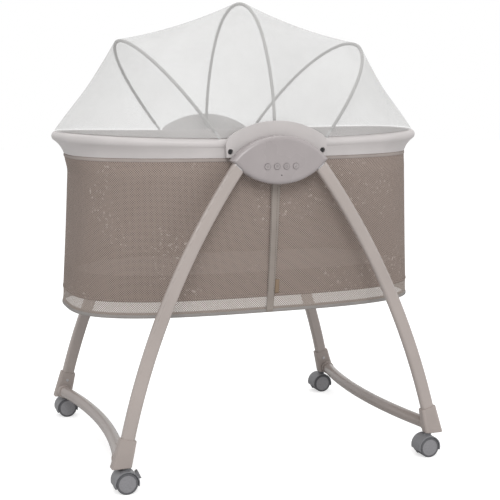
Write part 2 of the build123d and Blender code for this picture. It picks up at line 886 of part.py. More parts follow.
def wheel(x, y, side):
    """One of the two wheels of a caster, with a blind bore and a recessed disc."""
    start = web_half + touch
    with BuildPart() as tyre:
        with BuildSketch(across_plane(x - trail, y, start if side > 0 else -start)):
            Circle(wheel_radius)
        extrude(amount=-side * wheel_width)
        chamfer(tyre.edges(), 1.5)
        with BuildSketch(across_plane(x - trail, y, side * (start + wheel_width))):
            Circle(0.8 * wheel_radius)
        extrude(amount=side * 0.6, mode=Mode.SUBTRACT)
        with BuildSketch(across_plane(x - trail, y, side * start)):
            Circle(axle_radius + running)
        extrude(amount=-side * (axle_length - start + touch), mode=Mode.SUBTRACT)
    return tyre.part


def brake_lever(x, y):
    """Foot tab that swings round the axle, outside the fender."""
    with BuildPart() as lever:
        with BuildSketch(across_plane(x - trail, y, 1.4)):
            Circle(7)
            add(wedge(fender_outer + 4, brake_middle - 5, brake_middle + 5))
            Circle(axle_radius + running, mode=Mode.SUBTRACT)
        extrude(amount=2.8)
        with BuildSketch(across_plane(x - trail, y, brake_width / 2)):
            add(wedge(fender_outer + brake_reach, brake_middle - 16, brake_middle + 16))
            Circle(fender_outer + 0.5, mode=Mode.SUBTRACT)
        extrude(amount=brake_width)
    return lever.part


for row, sy in sides:
    for end, sx in ends:
        x, y = sx * stem_x, sy * caster_y
        save(caster_hood(x, y, end == "left"), f"{row}_{end}_caster_hood")
        save(axle(x, y), f"{row}_{end}_axle")
        for face, side in (("front", -1), ("rear", 1)):
            save(wheel(x, y, side), f"{row}_{end}_{face}_wheel")
        if end == "left":
            save(brake_lever(x, y), f"{row}_{end}_brake_lever")

# ---------------------------------------------------------------- hoops and net
net_inside = hoop_radius + 0.5


def hoop_plane(sx):
    """Plane of a hoop with its feet on y: upright for 0, leaning outwards for -1 and 1."""
    lean = radians(outer_hoop_lean) if sx else 0
    return Plane(
        origin=(sx * outer_hoop_x, 0, crest(sx * outer_hoop_x) + 2),
        x_dir=(0, 1, 0),
        z_dir=(cos(lean), 0, -sx * sin(lean)),
    )


def end_plane(sx):
    """Level plane just under the crest, its y pointing out of one end of the basket."""
    return Plane(origin=(sx * outer_hoop_x, 0, rim_height - 3), x_dir=(0, -sx, 0), z_dir=(0, 0, 1))


def arch_line(half, height, top_radius, grow):
    """Three arcs that meet smoothly: upright at both feet, top_radius over the top, grown outwards."""
    side_radius = (half**2 + height**2 - 2 * height * top_radius) / (2 * (half - top_radius))
    turn = atan2(height - top_radius, side_radius - half)
    grown = side_radius + grow

    def side_point(angle):
        return half - side_radius + grown * cos(angle), grown * sin(angle)

    half_way, joint = side_point(turn / 2), side_point(turn)
    ThreePointArc(side_point(0), half_way, joint)
    ThreePointArc(joint, (0, height + grow), (-joint[0], joint[1]))
    ThreePointArc((-joint[0], joint[1]), (-half_way[0], half_way[1]), (-side_point(0)[0], 0))


def hoop_sizes(sx):
    """Half-span, height and top radius of a hoop's centre line."""
    if sx:
        return outer_half_width, outer_hoop_rise, outer_hoop_radius
    return hoop_half_width, middle_hoop_rise, middle_hoop_radius


def hoop(sx):
    """Bent wire with upright pins that drop into the rim."""
    base = crest(sx * outer_hoop_x) + 2
    half = hoop_sizes(sx)[0]
    with BuildPart() as wire:
        with BuildLine(hoop_plane(sx)) as line:
            arch_line(*hoop_sizes(sx), 0)
        path = line.wires()[0]
        with BuildSketch(Plane(origin=path @ 0, z_dir=path % 0)):
            Circle(hoop_radius)
        sweep(path=path)
        for foot_yy in (-half, half):
            with Locations((sx * outer_hoop_x, foot_yy, base)):
                Sphere(hoop_radius + 0.25)
                Cylinder(hoop_radius, hoop_pin + 2, align=(Align.CENTER, Align.CENTER, Align.MAX))
    return wire.part


for name, sx in (("left", -1), ("middle", 0), ("right", 1)):
    save(hoop(sx), f"{name}_hoop")


def arch_face(plane, sizes, grow):
    """Flat face between an arch and the straight line through its feet."""
    with BuildSketch(plane) as face:
        with BuildLine() as line:
            arch_line(*sizes, grow)
            Line(line.edges()[-1] @ 1, line.edges()[0] @ 0)
        make_face()
    return face.sketch


def net_solid(grow):
    """Closed tent shape over the three hoops, grown from their centre lines."""
    end_sizes = (outer_half_width, rim_half_length - hoop_inset - outer_hoop_x, net_end_radius)
    with BuildPart() as tent:
        for sx in (-1, 1):
            add(arch_face(hoop_plane(0), hoop_sizes(0), grow))
            add(arch_face(hoop_plane(sx), hoop_sizes(sx), grow))
            loft(ruled=True)
            add(arch_face(hoop_plane(sx), hoop_sizes(sx), grow))
            add(arch_face(end_plane(sx), end_sizes, grow))
            loft(ruled=True)
    return tent.part


with BuildPart() as canopy_net:
    add(net_solid(net_inside + net_thickness))
    add(net_solid(net_inside), mode=Mode.SUBTRACT)
    with BuildSketch(Plane.XZ):
        with BuildLine():
            ends_height = crest(rim_half_length) + net_foot
            ThreePointArc(
                (-rim_half_length, ends_height),
                (0, rim_height + net_foot),
                (rim_half_length, ends_height),
            )
            Polyline(
                (rim_half_length, ends_height),
                (rim_half_length, 0),
                (-rim_half_length, 0),
                (-rim_half_length, ends_height),
            )
        make_face()
    extrude(amount=2 * rim_half_width, both=True, mode=Mode.SUBTRACT)
save(canopy_net.part, "canopy_net")
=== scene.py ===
# %% [markdown]
# # A bassinet on a stand
# An oval mesh basket hangs between two pods on four bowed legs, under a sheer net on three hoops. The rigid
# pieces come from the CAD frame and only get their finish here. The soft pieces are made new, because a CAD
# solid can't hang or fold: the net, the mesh wall, the skirt, the liner, the mattress and the tapes.

# %% Frame
import math

import bmesh
import bpy
import numpy as np
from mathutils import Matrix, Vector


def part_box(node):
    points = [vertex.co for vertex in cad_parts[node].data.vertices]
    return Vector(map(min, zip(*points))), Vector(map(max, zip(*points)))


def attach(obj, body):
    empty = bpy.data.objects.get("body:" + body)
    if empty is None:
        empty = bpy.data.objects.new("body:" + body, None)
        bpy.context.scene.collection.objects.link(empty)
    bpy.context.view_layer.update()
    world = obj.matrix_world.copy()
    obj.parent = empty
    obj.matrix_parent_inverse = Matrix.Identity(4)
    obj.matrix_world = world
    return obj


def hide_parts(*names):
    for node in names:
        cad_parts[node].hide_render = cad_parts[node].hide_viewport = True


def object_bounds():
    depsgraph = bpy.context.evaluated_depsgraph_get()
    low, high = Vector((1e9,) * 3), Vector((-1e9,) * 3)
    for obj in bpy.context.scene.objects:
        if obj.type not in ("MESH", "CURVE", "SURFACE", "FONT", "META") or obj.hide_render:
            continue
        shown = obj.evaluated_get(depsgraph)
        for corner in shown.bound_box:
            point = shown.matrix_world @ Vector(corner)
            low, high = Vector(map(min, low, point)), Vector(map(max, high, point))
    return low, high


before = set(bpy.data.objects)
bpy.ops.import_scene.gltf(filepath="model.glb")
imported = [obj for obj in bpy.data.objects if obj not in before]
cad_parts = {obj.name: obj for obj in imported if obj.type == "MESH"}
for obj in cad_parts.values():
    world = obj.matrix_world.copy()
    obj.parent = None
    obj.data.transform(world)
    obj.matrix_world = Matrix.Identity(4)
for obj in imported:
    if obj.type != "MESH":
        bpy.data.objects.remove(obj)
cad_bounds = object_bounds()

print("CAD nodes", len(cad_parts), "box", cad_bounds)

# %% [markdown]
# ## Shader helpers
# Every finish is a small node tree: a Principled shader whose colour, roughness and bump come from object
# coordinates in metres, so that a grain of 0.5 mm is the same size on every piece. Image textures could do
# it too, but they stretch on curved parts. A small class keeps each recipe short.


# %% Shader helpers
class Shader:
    """A material's node tree with short ways to add and join nodes."""

    def __init__(self, name, roughness=0.5, specular=0.5):
        self.material = bpy.data.materials.new(name)
        self.material.use_nodes = True
        self.nodes, self.links = self.material.node_tree.nodes, self.material.node_tree.links
        self.main = self.nodes["Principled BSDF"]
        self.main.inputs["Roughness"].default_value = roughness
        self.main.inputs["Specular IOR Level"].default_value = specular
        self.place = self.nodes.new("ShaderNodeTexCoord").outputs["Object"]

    def put(self, socket, value):
        """Joins a socket to another or sets its value."""
        if isinstance(value, bpy.types.NodeSocket):
            self.links.new(value, socket)
        else:
            socket.default_value = value

    def math(self, operation, a, b=0.0):
        """One sum, product, sine and so on of two values or sockets."""
        node = self.nodes.new("ShaderNodeMath")
        node.operation = operation
        for socket, value in zip(node.inputs, (a, b)):
            self.put(socket, value)
        return node.outputs[0]

    def noise(self, scale, detail=2.0, rough=0.5):
        """Soft random clouds from 0 to 1, with features about 1 / scale metres wide."""
        node = self.nodes.new("ShaderNodeTexNoise")
        self.put(node.inputs["Vector"], self.place)
        for key, number in (("Scale", scale), ("Detail", detail), ("Roughness", rough)):
            node.inputs[key].default_value = number
        return node.outputs["Fac"]

    def axes(self, place=None):
        """The three coordinates of a place as sockets."""
        node = self.nodes.new("ShaderNodeSeparateXYZ")
        self.put(node.inputs[0], place or self.place)
        return node.outputs

    def ramp(self, value, low, high, a=0.0, b=1.0):
        """Maps low..high to a..b, clamped."""
        node = self.nodes.new("ShaderNodeMapRange")
        for key, number in (("From Min", low), ("From Max", high), ("To Min", a), ("To Max", b)):
            node.inputs[key].default_value = number
        self.put(node.inputs["Value"], value)
        return node.outputs[0]

    def mix(self, factor, a, b):
        """Mixes two colours."""
        node = self.nodes.new("ShaderNodeMix")
        node.data_type = "RGBA"
        self.put(node.inputs["Factor"], factor)
        for socket, value in ((node.inputs["A"], a), (node.inputs["B"], b)):
            self.put(socket, with_alpha(value))
        return node.outputs["Result"]

    def clouded(self, scale, detail, darker, paler, colour):
        """A colour that drifts between a darker and a paler share of itself, and the noise that drives it."""
        cloud = self.noise(scale, detail)
        return cloud, self.mix(self.ramp(cloud, 0.3, 0.7), scaled(colour, darker), scaled(colour, paler))

    def bump(self, height, distance, strength=1.0):
        """Small relief: height 0..1 stands for distance metres."""
        node = self.nodes.new("ShaderNodeBump")
        self.put(node.inputs["Height"], height)
        node.inputs["Distance"].default_value = distance
        node.inputs["Strength"].default_value = strength
        self.put(self.main.inputs["Normal"], node.outputs[0])

    def colour(self, value):
        """Sets the surface's colour, from a triple or a socket."""
        self.put(self.main.inputs["Base Color"], with_alpha(value))

    def roughness(self, value, low, high):
        """Roughness from low to high as a cloud goes from 0.3 to 0.7."""
        self.put(self.main.inputs["Roughness"], self.ramp(value, 0.3, 0.7, low, high))


def with_alpha(value):
    """A colour triple with an alpha of 1, as Blender's colour sockets want it. A socket stays as it is."""
    return value if isinstance(value, bpy.types.NodeSocket) else (*value, 1.0)


print("shader helpers ready")


# %% Colours
def tint(srgb):
    """Linear colour of an sRGB triple of 0..255."""
    return tuple(c / 255 / 12.92 if c <= 10 else ((c / 255 + 0.055) / 1.055) ** 2.4 for c in srgb)


def scaled(colour, gain):
    """The same hue, lighter or darker."""
    return tuple(min(1.0, c * gain) for c in colour)


print("a middle grey of 128 is", round(tint((128, 128, 128))[0], 3), "in linear light")

# %% [markdown]
# ## Plastic, paint and metal
# Moulded plastic has a spark-eroded grain too fine to see as dots and ridges that wear a little paler.
# Powder coat has soft waves of about 2 mm, like orange peel. Turned and cast metal keeps tool marks. Relief
# this fine would take millions of faces, so bump maps stand for it. Each finish is one recipe, and a piece
# only picks its colour and gloss.


# %% Plastic and paint
def finish_plastic(name, colour, rough=0.42, gloss=0.4):
    """Moulded plastic: fine spark-eroded grain, faint mottling, slightly paler worn ridges."""
    shader = Shader(name, rough, gloss)
    cloud = shader.noise(9.0, 3.0)
    geometry = shader.nodes.new("ShaderNodeNewGeometry")
    ridge = shader.ramp(geometry.outputs["Pointiness"], 0.52, 0.62)
    base = shader.mix(shader.ramp(cloud, 0.35, 0.65), scaled(colour, 0.94), scaled(colour, 1.03))
    shader.colour(shader.mix(shader.math("MULTIPLY", ridge, 0.35), base, scaled(colour, 1.25)))
    shader.roughness(cloud, rough - 0.05, rough + 0.06)
    shader.bump(shader.noise(2600.0), 0.00003)
    return shader.material


def finish_paint(name, colour):
    """Powder coat: orange-peel waves of about 2 mm under a satin film."""
    shader = Shader(name, 0.22, 0.6)
    cloud, drift = shader.clouded(6.0, 2.0, 0.95, 1.04, colour)
    shader.colour(drift)
    shader.roughness(cloud, 0.2, 0.26)
    shader.bump(shader.noise(520.0), 0.00006)
    return shader.material


print("plastic and paint ready")


# %% Metal and wheels
def finish_metal(name, colour, rough=0.3, marks_scale=900.0):
    """Turned or cast metal with fine tool marks."""
    shader = Shader(name, rough)
    shader.main.inputs["Metallic"].default_value = 1.0
    marks = shader.noise(marks_scale, 3.0)
    shader.colour(shader.mix(marks, scaled(colour, 0.85), scaled(colour, 1.1)))
    shader.roughness(marks, rough - 0.08, rough + 0.1)
    shader.bump(marks, 0.00004)
    return shader.material


def finish_wheel(name, centre, radius):
    """Wheel: darker tread outside 80 % of the radius, a paler disc inside."""
    shader = Shader(name, 0.4, 0.45)
    x, _, z = shader.axes()
    dx = shader.math("SUBTRACT", x, centre[0])
    dz = shader.math("SUBTRACT", z, centre[2])
    squares = shader.math("ADD", shader.math("MULTIPLY", dx, dx), shader.math("MULTIPLY", dz, dz))
    tread = shader.ramp(shader.math("SQRT", squares), radius * 0.79, radius * 0.81)
    dust = shader.ramp(shader.noise(240.0, 3.0), 0.3, 0.7)
    disc = shader.mix(dust, tint((132, 131, 134)), tint((142, 141, 144)))
    rubber = shader.mix(dust, tint((84, 84, 87)), tint((98, 98, 101)))
    shader.colour(shader.mix(tread, disc, rubber))
    shader.put(shader.main.inputs["Roughness"], shader.ramp(tread, 0, 1, 0.34, 0.62))
    shader.bump(shader.noise(1800.0), 0.00004)
    return shader.material


print("metal and wheels ready")

# %% [markdown]
# ## Finishes of the rigid pieces
# The rim, plates and feet are warm grey plastic, the pods a darker satin one, the tubes powder-coated
# steel. The near plate is one moulding with the far one, and its darker colour is painted shade. The plate
# screws are black, and their black also stands as painted shade for the dark recesses round them. Casters
# are nearly neutral dark grey; each wheel has a darker tread ring round a paler disc. Inside the pods there
# are bearings, a coil and a board. Every node could get its finish by hand, but a table that names each
# finish once, beside the endings of the nodes that wear it, is easier to check.

# %% Finishes of the rigid pieces
POD = tint((158, 151, 151))
# Near-black of the plate screws, which also stands as painted shade for the recesses they sit in.
SCREW_BLACK_AS_SHADE = (0.02, 0.02, 0.021)
RIM_PLASTIC = finish_plastic("rim_plastic", tint((196, 191, 190)))
STEEL = finish_metal("steel", (0.6, 0.6, 0.61))
FINISHES = [
    (RIM_PLASTIC, "rim_band", "far_hub_plate"),
    # The near plate is the same moulding as the far one; its darker colour is painted shade.
    (finish_plastic("near_plate_painted_shade", tint((184, 179, 178))), "near_hub_plate"),
    (finish_plastic("pod_plastic", POD, rough=0.27, gloss=0.5), "pod_cover", "pod_back"),
    (finish_plastic("foot_plastic", tint((166, 156, 151)), rough=0.5, gloss=0.3), "_foot"),
    (finish_paint("leg_paint", tint((170, 160, 155))), "_leg"),
    (finish_paint("bar_paint", tint((154, 144, 139))), "crossbar"),
    (finish_plastic("caster_plastic", tint((122, 122, 125)), rough=0.45), "caster_hood"),
    (finish_plastic("brake_plastic", tint((122, 122, 124))), "brake_lever"),
    (finish_plastic("button_plastic", scaled(POD, 1.05), rough=0.36, gloss=0.5), "_button"),
    (STEEL, "_axle", "shaft", "stand_screws", "magnet_arm"),
    # The screws are real, and their near-black also paints the shade of the plates' dark recesses.
    (finish_plastic("black_screw_painted_shade", SCREW_BLACK_AS_SHADE, rough=0.5), "plate_screws"),
    (finish_metal("cast_alloy", (0.62, 0.62, 0.63), 0.5, 400.0), "bracket"),
    (finish_metal("bronze", (0.62, 0.48, 0.27)), "pivot_bearings"),
    (finish_metal("copper_coil", (0.6, 0.3, 0.16), 0.35, 1500.0), "drive_coil"),
    (finish_plastic("board_green", (0.04, 0.16, 0.08)), "control_board"),
    (finish_plastic("board_wood", (0.5, 0.37, 0.24), rough=0.6), "base_board"),
    (finish_plastic("hoop_plastic", tint((186, 186, 185)), rough=0.4), "_hoop"),
]


def corners(node):
    """A node's lowest and highest corners as arrays."""
    return tuple(np.array(corner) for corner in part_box(node))


def nodes_ending(*ends):
    """The CAD nodes whose names end so."""
    return [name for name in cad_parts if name.endswith(ends)]


def wear(name, material):
    """Puts one finish on a CAD node, in its own slots."""
    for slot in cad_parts[name].material_slots:
        slot.material = material


for material, *ends in FINISHES:
    for name in nodes_ending(*ends):
        wear(name, material)
for name in nodes_ending("_wheel"):
    low, high = corners(name)
    wear(name, finish_wheel(name + "_finish", (low + high) / 2, (high[2] - low[2]) / 2))
print("finishes on", len(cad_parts), "nodes")

# %% [markdown]
# ## Outlines of the soft pieces
# Everything soft follows two outlines. The fabric wall is a stack of ovals (superellipses): squarer at the
# floor, rounder at the rim, and wider half-way up than a straight line would be. The net is stretched over
# three arches and down to the rim. Curves drawn by hand and lofted could do it too. As functions of two
# parameters, in metres, any later piece can ask for any level of them and lies right on the wall. Sizes
# come from the CAD nodes' boxes where they have them.

# %% Sizes of the basket
_, rim_high = corners("rim_band")
wall_low, wall_high = corners("mesh_wall")
skirt_low, skirt_high = corners("skirt")
RIM_LENGTH, RIM_WIDTH = rim_high[0], rim_high[1]  # half of each, as every length and width below
RIM_ROUNDNESS, WALL_ROUNDNESS = 2.5, 3.0
RISE = 0.011  # the crest's rise from mid-length to the ends
CREST = rim_high[2] - RISE  # its height at mid-length
FLARE_SIDE, FLARE_MORE = 0.006, 0.023  # how far the band's foot lies inside, and how much more at the ends
HEM, FLOOR, WALL_TOP = skirt_low[2], wall_low[2], wall_high[2]
NECK, NECK_LENGTH = 0.695, 0.427  # the narrowest level of the ends
BASE_LENGTH, BASE_WIDTH = skirt_high[0], 0.225
WAIST_WIDTH = RIM_WIDTH - FLARE_SIDE
BELLY = 1.8  # 1 would make the long sides straight, and more fills them out
CLOTH_INSET = 0.0010  # the wall's cloth lies this far inside the CAD wall's outside
ROUND = np.linspace(0, 2 * np.pi, 1441)[:-1]
print("rim", RIM_LENGTH, RIM_WIDTH, "crest", CREST, "wall from", FLOOR, "to", WALL_TOP, "hem", HEM)


# %% Ovals and the rim
def oval(length, width, roundness, angle):
    """x = L |cos a|^(2/n), y = W |sin a|^(2/n), with the signs of cos a and sin a."""
    c, s = np.cos(angle), np.sin(angle)
    power = 2 / roundness
    return np.stack([length * np.sign(c) * np.abs(c) ** power, width * np.sign(s) * np.abs(s) ** power], -1)


def even(points, count, closed=False):
    """The same curve with its points at equal distances along it."""
    if closed:
        points = np.concatenate([points, points[:1]])
    step = np.r_[0, np.cumsum(np.linalg.norm(np.diff(points, axis=0), axis=1))]
    want = np.linspace(0, step[-1], count + 1 if closed else count)
    out = np.stack([np.interp(want, step, points[:, k]) for k in range(points.shape[1])], -1)
    return out[:-1] if closed else out


def crest(x):
    """Height of the rim's crest at a distance x along the basket: it rises with (x / L)^2."""
    return CREST + RISE * (x / RIM_LENGTH) ** 2


def rim_half_width(x):
    """Half-width of the rim's outline at a distance x: W (1 - |x / L|^2.5)^(1 / 2.5)."""
    return RIM_WIDTH * (1 - abs(x / RIM_LENGTH) ** RIM_ROUNDNESS) ** (1 / RIM_ROUNDNESS)


print("rim's half-width at mid-length", rim_half_width(0.0), "and its crest", crest(0.0))


# %% Levels of the wall
def waist(inset):
    """The band's lower edge: the rim's oval moved inwards by 6 mm + 23 mm (x / L)^2."""
    ring = oval(RIM_LENGTH, RIM_WIDTH, RIM_ROUNDNESS, ROUND)
    size = RIM_LENGTH, RIM_WIDTH
    normal = np.sign(ring) * (np.abs(ring) / size) ** (RIM_ROUNDNESS - 1) / size
    normal /= np.linalg.norm(normal, axis=1, keepdims=True)
    flare = FLARE_SIDE + FLARE_MORE * (np.abs(ring[:, :1]) / RIM_LENGTH) ** 2
    return ring - normal * (flare + inset)


def wall_ring(z, inset, count):
    """Outline of the fabric wall at a height, moved inwards by inset.

    The length runs straight from the base to the neck, the width as 1 - (1 - t)^1.8 from the base to the
    waist, and above the neck the oval eases into the waist's outline with t^2 (3 - 2 t)."""
    up = min(1.0, (z - HEM) / (NECK - HEM))
    lean = min(1.0, max(0.0, (z - HEM) / (WALL_TOP - HEM)))
    length = BASE_LENGTH + (NECK_LENGTH - BASE_LENGTH) * up
    width = BASE_WIDTH + (WAIST_WIDTH - BASE_WIDTH) * (1 - (1 - lean) ** BELLY)
    ring = oval(length - inset, width - inset, WALL_ROUNDNESS, ROUND)
    if z > NECK:
        part = (z - NECK) / (WALL_TOP - NECK)
        part = part * part * (3 - 2 * part)
        ring = ring * (1 - part) + waist(inset) * part
    return even(ring, count, closed=True)


def wall(low, high, inset, rows, count=240):
    """Grid of points over the wall between two heights: rows from low to high, columns round it."""
    levels = np.linspace(low, high, rows)
    rings = np.stack([wall_ring(z, inset, count) for z in levels])
    heights = np.broadcast_to(levels[:, None, None], (rows, count, 1))
    return np.concatenate([rings, heights], -1)


print("wall's half-length and half-width at the floor", np.abs(wall_ring(FLOOR, 0, 240)).max(axis=0))

# %% [markdown]
# ## From a grid to a piece of cloth
# A real sheet is cut flat and sewn round the frame. Here it is a grid of points joined into four-sided
# faces. Cloth that closes round the basket joins its last column to its first. The UV map could come from
# unwrapping, but it holds the distances along the cloth in metres, so a knit keeps its size where the cloth
# widens.


# %% Cloth helpers
def ring_neighbours(grid, wrap):
    """The grid's left and right columns: every column and the next one round, or all but the last."""
    return (grid, np.roll(grid, -1, axis=1)) if wrap else (grid[:, :-1], grid[:, 1:])


def add_piece(name, data, material, body):
    """Puts a mesh or curve in the scene with its finish, riding on a CAD body."""
    piece = bpy.data.objects.new(name, data)
    bpy.context.scene.collection.objects.link(piece)
    data.materials.append(material)
    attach(piece, body)
    return piece


def cloth_mesh(name, grid, wrap, material, body="basket", thickness=0.0012):
    """A grid of points as one sheet. The map "cloth" holds each point's distances along it, in metres."""
    rows, columns = grid.shape[:2]
    left, right = ring_neighbours(np.arange(rows * columns).reshape(rows, columns), wrap)
    faces = np.stack([left[:-1], right[:-1], right[1:], left[1:]], -1).reshape(-1, 4)
    mesh = bpy.data.meshes.new(name)
    mesh.from_pydata(grid.reshape(-1, 3).tolist(), [], faces.tolist())
    across = np.linalg.norm(grid - np.roll(grid, 1, axis=1), axis=2).mean(axis=0)
    across[0] = 0
    along = np.linalg.norm(np.diff(grid, axis=0), axis=2).mean(axis=1)
    u, v = np.cumsum(across), np.r_[0, np.cumsum(along)]
    column, row = faces % columns, faces // columns
    around = u[column]
    if wrap:  # the faces that close the ring run on past the last column
        closing = (column == 0) & (np.roll(column, 1, axis=1) + np.roll(column, -1, axis=1) > 2)
        around = np.where(closing, u[-1] + across[1], around)
    layer = mesh.uv_layers.new(name="cloth")
    layer.data.foreach_set("uv", np.stack([around, v[row]], -1).reshape(-1))
    mesh.validate()
    mesh.shade_smooth()
    piece = add_piece(name, mesh, material, body)
    if thickness:
        thick = piece.modifiers.new("thickness", "SOLIDIFY")
        thick.thickness = thickness
        thick.offset = -1
    return piece


print("cloth helpers ready")


# %% [markdown]
# ## Fabrics
# The wall is a warp-knit mesh: its cells stand in a diamond lattice, in rows about 2.7 mm apart, with
# threads thick enough to hide most of the inside. The skirt is the same knit, more open. The canopy is a
# sheer net whose threads are too fine to see one by one, so it only veils what is behind it. The tapes, the
# liner and the mattress have plain weaves. Real holes would need millions of faces, so alpha opens the
# cells instead.


# %% Knitted mesh
def lattice(shader, pitch):
    """sin(2 pi u / p) sin(2 pi v / p) over the cloth's own lengths: a diamond lattice of peaks."""
    node = shader.nodes.new("ShaderNodeUVMap")
    node.uv_map = "cloth"
    u, v, _ = shader.axes(node.outputs[0])
    turn = 2 * math.pi / pitch
    waves = [shader.math("SINE", shader.math("MULTIPLY", length, turn)) for length in (u, v)]
    return shader.math("MULTIPLY", *waves)


SPECK = tint((196, 186, 178))


def finish_mesh(name, colour, pitch, contrast=0.6, open_share=0.25):
    """Knitted mesh: small open cells stand in a diamond lattice between the threads.

    Where the lattice peaks the cloth is darker and partly clear. A few cells in drifting patches catch the
    light and show as pale specks."""
    shader = Shader(name, 0.8, 0.2)
    cells = lattice(shader, pitch)
    open_part = shader.ramp(cells, 0.05, 0.75)
    _, base = shader.clouded(5.0, 3.0, 0.95, 1.06, colour)
    weave = shader.mix(open_part, scaled(colour, 1 + contrast), scaled(colour, 1 - 1.5 * contrast))
    weave = shader.mix(0.2, weave, base)
    patch = shader.ramp(shader.noise(7.0), 0.46, 0.57)
    speck = shader.math("MULTIPLY", shader.ramp(shader.noise(135.0, 3.0, 0.6), 0.595, 0.652), patch)
    shader.colour(shader.mix(shader.math("MULTIPLY", speck, 0.5), weave, SPECK))
    alpha = shader.math("SUBTRACT", 1.0, shader.math("MULTIPLY", open_part, open_share))
    shader.put(shader.main.inputs["Alpha"], alpha)
    shader.bump(cells, 0.0003, 0.5)
    return shader.material


MESH = finish_mesh("mesh_fabric", tint((127, 115, 108)), 0.0055, contrast=0.66)
SKIRT = finish_mesh("skirt_fabric", tint((138, 128, 121)), 0.0054, open_share=0.62)
print("knits", MESH.name, SKIRT.name)


# %% Sheer net and plain cloth
def finish_sheer(name, colour, cover):
    """Sheer cloth: its rows, 0.8 mm apart, are finer than the eye sees, so it veils nearly evenly."""
    shader = Shader(name, 0.85, 0.1)
    shader.colour(colour)
    drift = shader.ramp(shader.noise(7.0), 0.3, 0.7, cover * 0.85, cover * 1.15)
    weave = shader.math("MULTIPLY", lattice(shader, 0.0016), cover * 0.15)
    shader.put(shader.main.inputs["Alpha"], shader.math("ADD", drift, weave))
    return shader.material


def finish_cloth(name, colour, pitch=0.0012):
    """Plain weave that hides what is behind it: sin(2 pi (x + y) / p) + sin(2 pi z / p) as its relief."""
    shader = Shader(name, 0.85, 0.2)
    x, y, z = shader.axes()
    turn = 2 * math.pi / pitch
    flat = shader.math("SINE", shader.math("MULTIPLY", shader.math("ADD", x, y), turn))
    upright = shader.math("SINE", shader.math("MULTIPLY", z, turn))
    _, drift = shader.clouded(18.0, 3.0, 0.93, 1.05, colour)
    shader.colour(drift)
    shader.bump(shader.math("ADD", flat, upright), 0.00012)
    return shader.material


NET = finish_sheer("net_fabric", tint((218, 218, 217)), 0.36)
SLEEVE = finish_cloth("sleeve_fabric", tint((178, 176, 174)))
BINDING = finish_cloth("binding_fabric", tint((164, 154, 149)), 0.0016)
HEM_CLOTH = finish_cloth("hem_fabric", tint((150, 146, 143)), 0.0016)
TAPE = finish_cloth("tape_fabric", tint((156, 147, 140)), 0.0014)
LINER = finish_cloth("liner_fabric", tint((150, 140, 132)))
PAD = finish_cloth("mattress_fabric", tint((226, 222, 215)), 0.0018)
TAN = finish_cloth("tab_fabric", tint((150, 130, 110)), 0.001)
THREAD = finish_cloth("thread", tint((112, 102, 95)), 0.0006)
print("finishes so far", len(bpy.data.materials))

# %% [markdown]
# ## The wall, the skirt and their bindings
# The wall hangs from the band's lower edge and is stretched by the floor at the bottom, so it is nearly
# smooth, with faint upright slack waves that fade towards both edges. The skirt hangs on below the floor
# and a stiff hoop keeps its hem open. Folded tapes bind the seams. A cloth simulation would hardly move
# cloth this tight, so the waves are worked out instead.


# %% Wall and skirt
def outwards(grid):
    """Unit vectors from the basket's axis through each point, level."""
    return grid[..., :2] / np.linalg.norm(grid[..., :2], axis=2, keepdims=True)


def slack(grid, depth, waves):
    """Pulls the middle rows inwards in soft waves: depth (1 + sin) / 2 times a bump that is 0 at both edges.

    Waves are pairs: how many go round the basket, and where they start."""
    rows, columns = grid.shape[:2]
    up = np.sin(np.pi * np.linspace(0, 1, rows))[:, None]
    turn = np.linspace(0, 2 * np.pi, columns + 1)[:-1][None]
    wave = sum(np.sin(count * turn + start) for count, start in waves) / len(waves)
    out = grid.copy()
    out[..., :2] -= outwards(grid) * (depth * up * (1 + wave) / 2)[..., None]
    return out


WALL_SLACK, SKIRT_SLACK, SKIRT_INSET = 0.0034, 0.0012, 0.0012
wall_grid = slack(wall(FLOOR, WALL_TOP, CLOTH_INSET, 60), WALL_SLACK, [(14, 0.4), (23, 1.7), (9, 2.2)])
mesh_cloth = cloth_mesh("mesh_cloth", wall_grid, True, MESH, thickness=0)
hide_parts("mesh_wall")

skirt_grid = slack(wall(HEM, FLOOR - 0.0003, SKIRT_INSET, 14), SKIRT_SLACK, [(31, 0.2), (47, 1.1)])
skirt_cloth = cloth_mesh("skirt_cloth", skirt_grid, True, SKIRT, thickness=0)
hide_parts("skirt")


# %% Bindings
def binding(name, low, high, proud, material):
    """Folded tape round the wall: proud sqrt(1 - t^2) out, so it bulges in the middle and turns in."""
    grid = wall(low, high, CLOTH_INSET, 7)
    up = np.linspace(-1, 1, len(grid))[:, None, None]
    grid[..., :2] += outwards(grid) * (0.0002 + proud * (1 - up**2) ** 0.5)
    piece = cloth_mesh(name, grid, True, material, thickness=0.0008)


binding("band_binding", WALL_TOP - 0.0085, WALL_TOP - 0.0005, 0.0012, BINDING)
binding("floor_binding", FLOOR - 0.003, FLOOR + 0.004, 0.0009, MESH)
binding("hem_binding", HEM - 0.0065, HEM + 0.0015, 0.0009, HEM_CLOTH)

# %% [markdown]
# ## Tapes, stitches and the plain tab
# A tape runs down the middle of each long side and widens a little towards the rim. A row of stitches in a
# darker thread holds each of its edges, and a plain fabric tab sits beside the near tape's foot. They could
# be shrink-wrapped on, but laid on the wall's own outline they follow the belly exactly. The stitches are
# short round wires, because from close by a painted line has no height.


# %% Tape and wire helpers
def long_side(z, side, count):
    """Outline of one long side at a height, from the left to the right, as x and the distance outwards."""
    ring = wall_ring(z, CLOTH_INSET, count)
    half = ring[ring[:, 1] * side > 0]
    order = np.argsort(half[:, 0])
    return half[order, 0], np.abs(half[order, 1])


